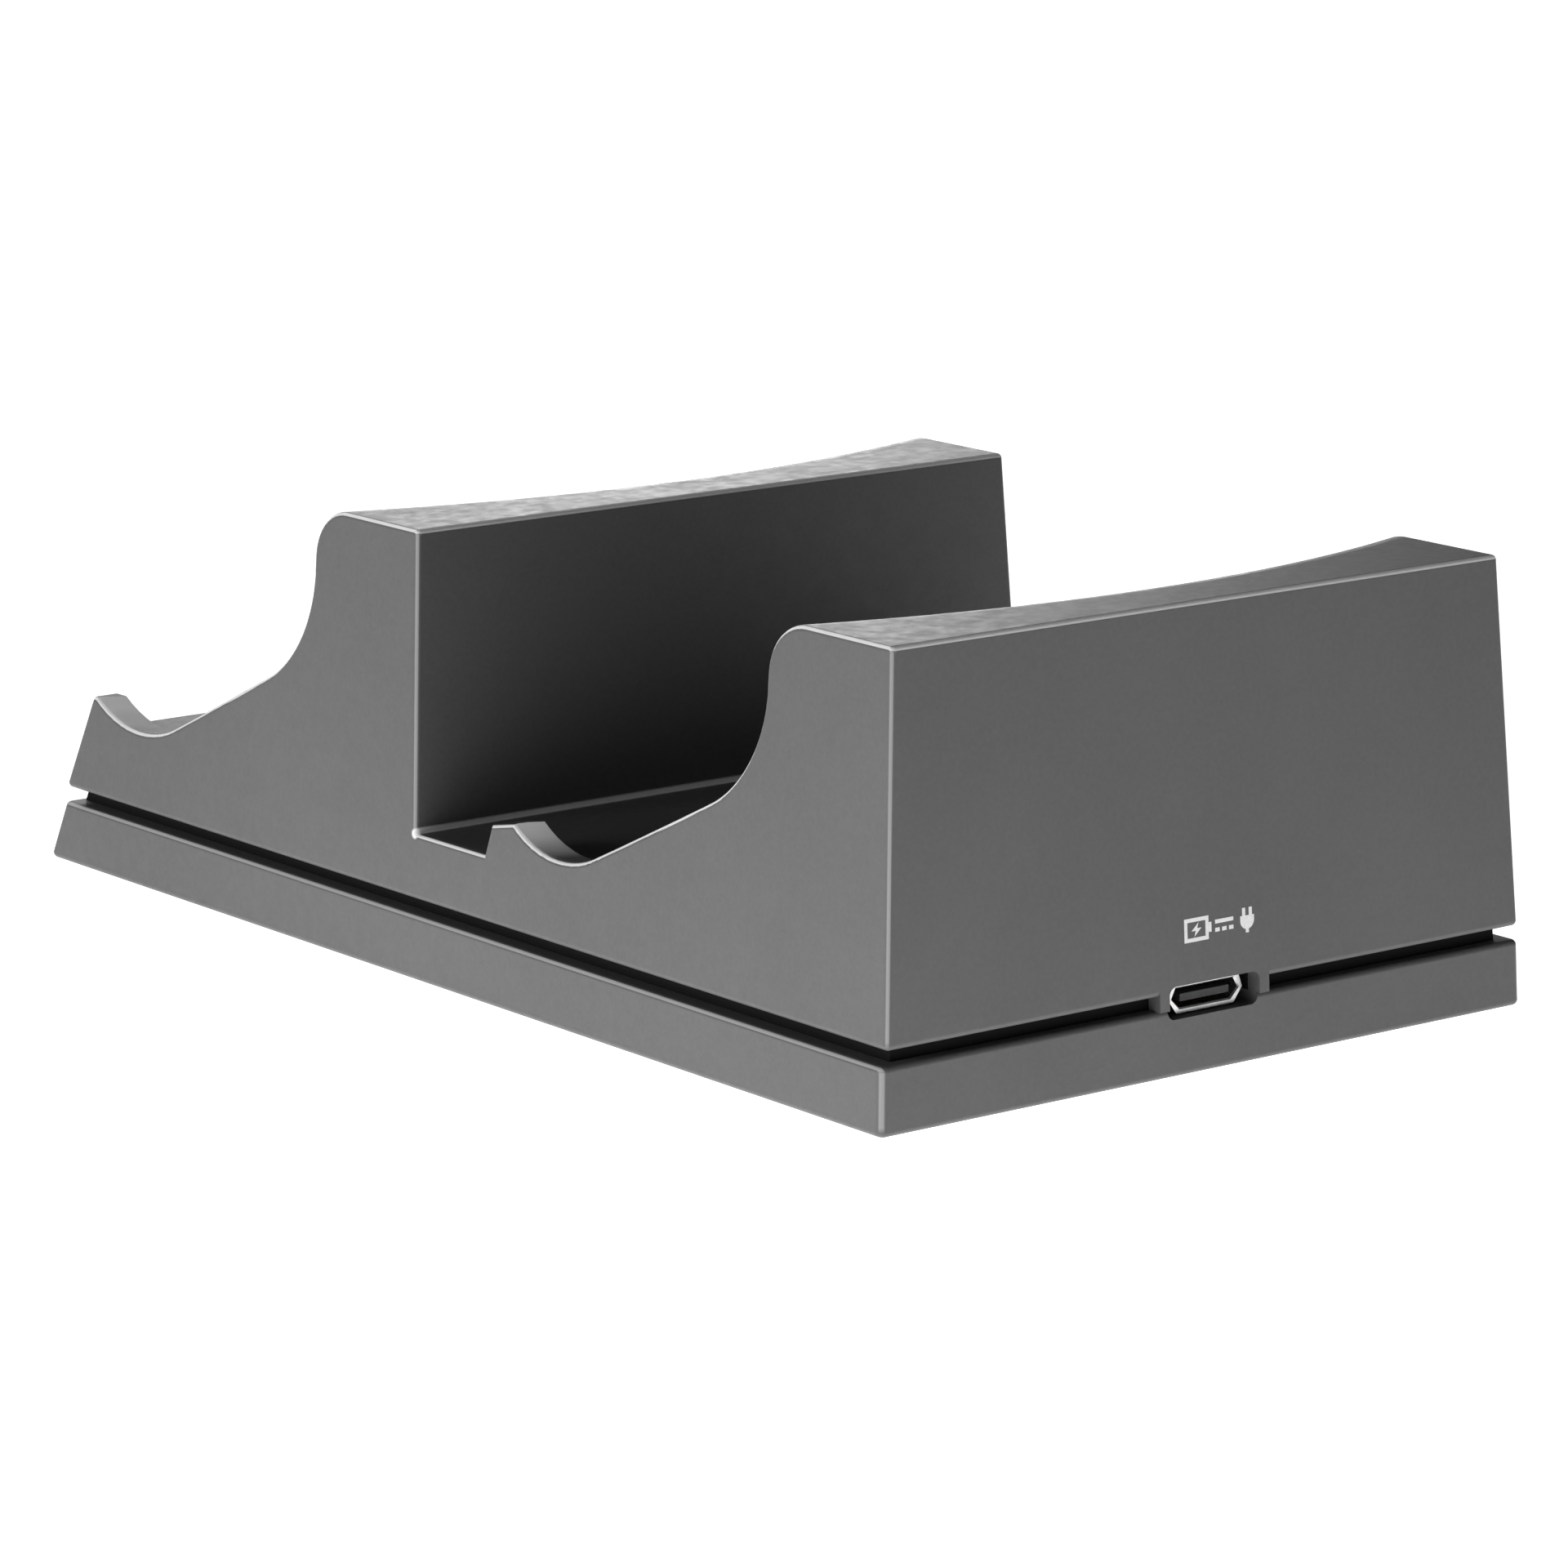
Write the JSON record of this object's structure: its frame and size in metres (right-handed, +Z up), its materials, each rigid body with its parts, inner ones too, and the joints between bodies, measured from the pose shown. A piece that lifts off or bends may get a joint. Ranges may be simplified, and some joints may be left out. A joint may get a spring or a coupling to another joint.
{
  "type": "controller charging dock",
  "caption": "Charging dock for game controllers: a low base, a dark gap, and a housing of scooped bays with concave back walls, side ears and upright charging plugs.",
  "frame": {"origin": "middle of the bounding box, at the underside of the rubber feet", "axes": "+Z up, +Y towards the back with the power socket, +X to the right seen from the front"},
  "size_m": [0.067, 0.1198, 0.0382],
  "materials": {
    "housing_plastic": "satin moulded, fine grain",
    "foot_rubber": "matte",
    "screw_steel": "zinc plated",
    "board_laminate": "solder mask",
    "connector_steel": "nickel plated",
    "black_plastic": "moulded",
    "contact_brass": "gold plated",
    "capacitor_can": "drawn can",
    "chip_ceramic": "fired ceramic",
    "chip_black": "glazed",
    "light_body": "clear resin",
    "light_pipe": "clear moulded"
  },
  "bodies": {
    "root": {"upper_housing": "housing_plastic", "base_housing": "housing_plastic", "front_left_foot": "foot_rubber", "front_right_foot": "foot_rubber", "rear_left_foot": "foot_rubber", "rear_right_foot": "foot_rubber", "housing_screws": "screw_steel", "board_screws": "screw_steel", "plug_board_screws": "screw_steel", "main_board": "board_laminate", "front_plug_board": "board_laminate", "rear_plug_board": "board_laminate", "power_socket_shell": "connector_steel", "front_plug_shell": "connector_steel", "rear_plug_shell": "connector_steel", "power_socket_insulator": "black_plastic", "power_inductor": "black_plastic", "front_plug_insulator": "black_plastic", "front_plug_seat": "black_plastic", "front_board_header": "black_plastic", "front_charge_controller": "black_plastic", "rear_plug_insulator": "black_plastic", "rear_plug_seat": "black_plastic", "rear_board_header": "black_plastic", "rear_charge_controller": "black_plastic", "power_socket_contacts": "contact_brass", "front_plug_contacts": "contact_brass", "front_header_pins": "contact_brass", "rear_plug_contacts": "contact_brass", "rear_header_pins": "contact_brass", "input_capacitor": "capacitor_can", "chip_capacitors": "chip_ceramic", "chip_resistors": "chip_black", "status_lights": "light_body", "left_light_pipe": "light_pipe", "right_light_pipe": "light_pipe"}
  },
  "joints": []
}
